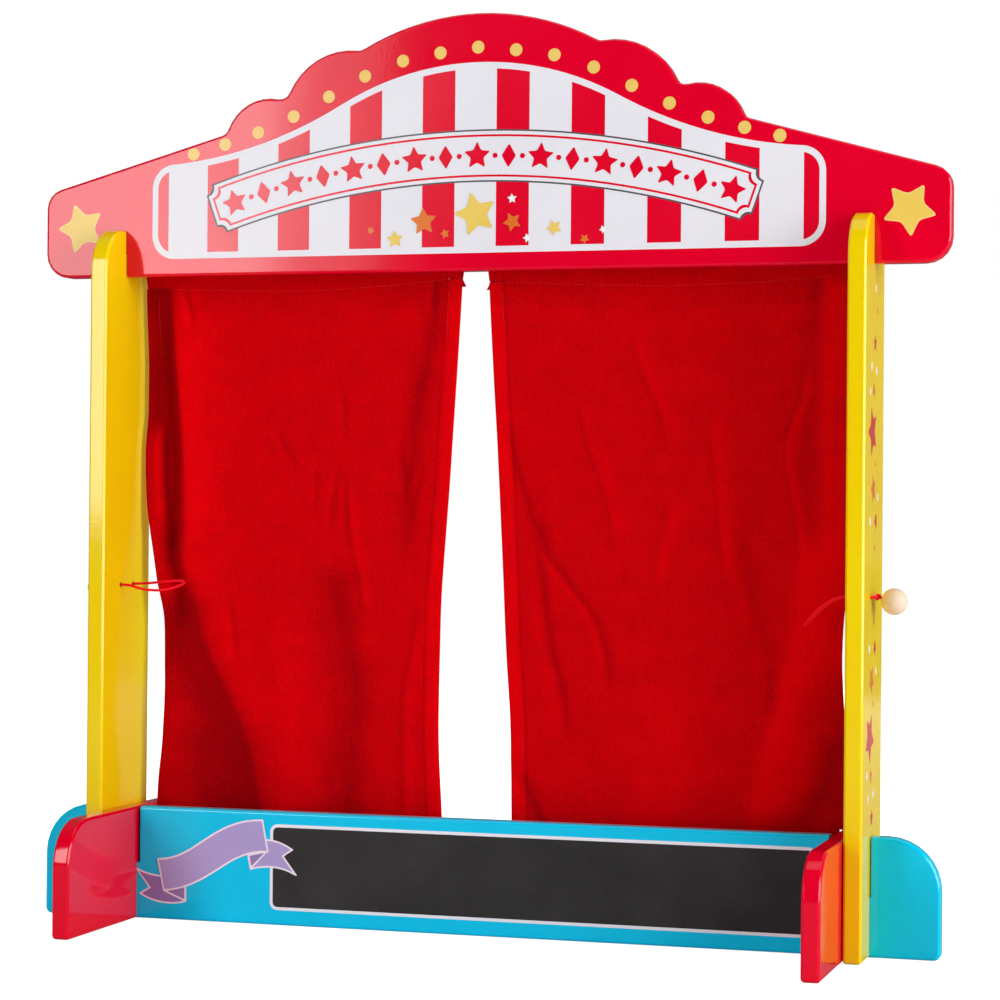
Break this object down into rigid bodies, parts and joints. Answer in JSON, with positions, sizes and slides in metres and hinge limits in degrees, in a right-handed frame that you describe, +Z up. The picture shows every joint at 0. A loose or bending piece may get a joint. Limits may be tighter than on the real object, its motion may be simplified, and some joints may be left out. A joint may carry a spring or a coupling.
{
  "type": "table-top puppet theatre",
  "caption": "Children's table-top puppet theatre: slotted painted boards, arched header, curtains on a rod, elastic tie-backs with wooden balls, and a chalkboard front.",
  "frame": {"origin": "on the table, under the middle of the front board", "axes": "+Z up, +X to the right as the audience sees it, -Y towards the audience"},
  "size_m": [0.63, 0.23, 0.615],
  "materials": {
    "red_paint": "gloss paint on board, red, with printed stars on a pale panel",
    "yellow_paint": "gloss paint on board, yellow, with printed stars",
    "blue_paint": "gloss paint on board, blue, with a black writing panel",
    "curtain_cloth": "matt plain-weave polyester, red",
    "elastic": "braided round elastic, red",
    "bare_wood": "turned beech, lightly lacquered"
  },
  "bodies": {
    "base": {"front_board": "blue_paint", "foot_left": "red_paint", "foot_right": "red_paint"},
    "frame": {"upright_left": "yellow_paint", "upright_right": "yellow_paint", "curtain_rod": "bare_wood", "curtain_left": "curtain_cloth", "curtain_right": "curtain_cloth"},
    "header": {"header_board": "red_paint"},
    "left_curtain_lead": {"curtain_left_lead": "curtain_cloth"},
    "right_curtain_lead": {"curtain_right_lead": "curtain_cloth"},
    "left_tieback": {"tieback_cord_left": "elastic", "tieback_knot_left": "elastic", "tieback_ball_left": "bare_wood"},
    "right_tieback": {"tieback_cord_right": "elastic", "tieback_knot_right": "elastic", "tieback_ball_right": "bare_wood"}
  },
  "joints": [
    {"name": "frame_lift", "type": "slide", "parent": "base", "child": "frame", "axis": [0, 0, 1], "range_m": [0, 0.05]},
    {"name": "header_lift", "type": "slide", "parent": "frame", "child": "header", "axis": [0, 0, 1], "range_m": [0, 0.04]},
    {"name": "left_curtain_draw", "type": "slide", "parent": "frame", "child": "left_curtain_lead", "axis": [-1, 0, 0], "range_m": [0, 0.19], "deforming": ["curtain_left"]},
    {"name": "right_curtain_draw", "type": "slide", "parent": "frame", "child": "right_curtain_lead", "axis": [1, 0, 0], "range_m": [0, 0.2], "deforming": ["curtain_right"]},
    {"name": "left_tieback_pull", "type": "slide", "parent": "frame", "child": "left_tieback", "axis": [-1, 0, 0], "range_m": [0, 0.008]},
    {"name": "right_tieback_pull", "type": "slide", "parent": "frame", "child": "right_tieback", "axis": [1, 0, 0], "range_m": [0, 0.008]}
  ]
}
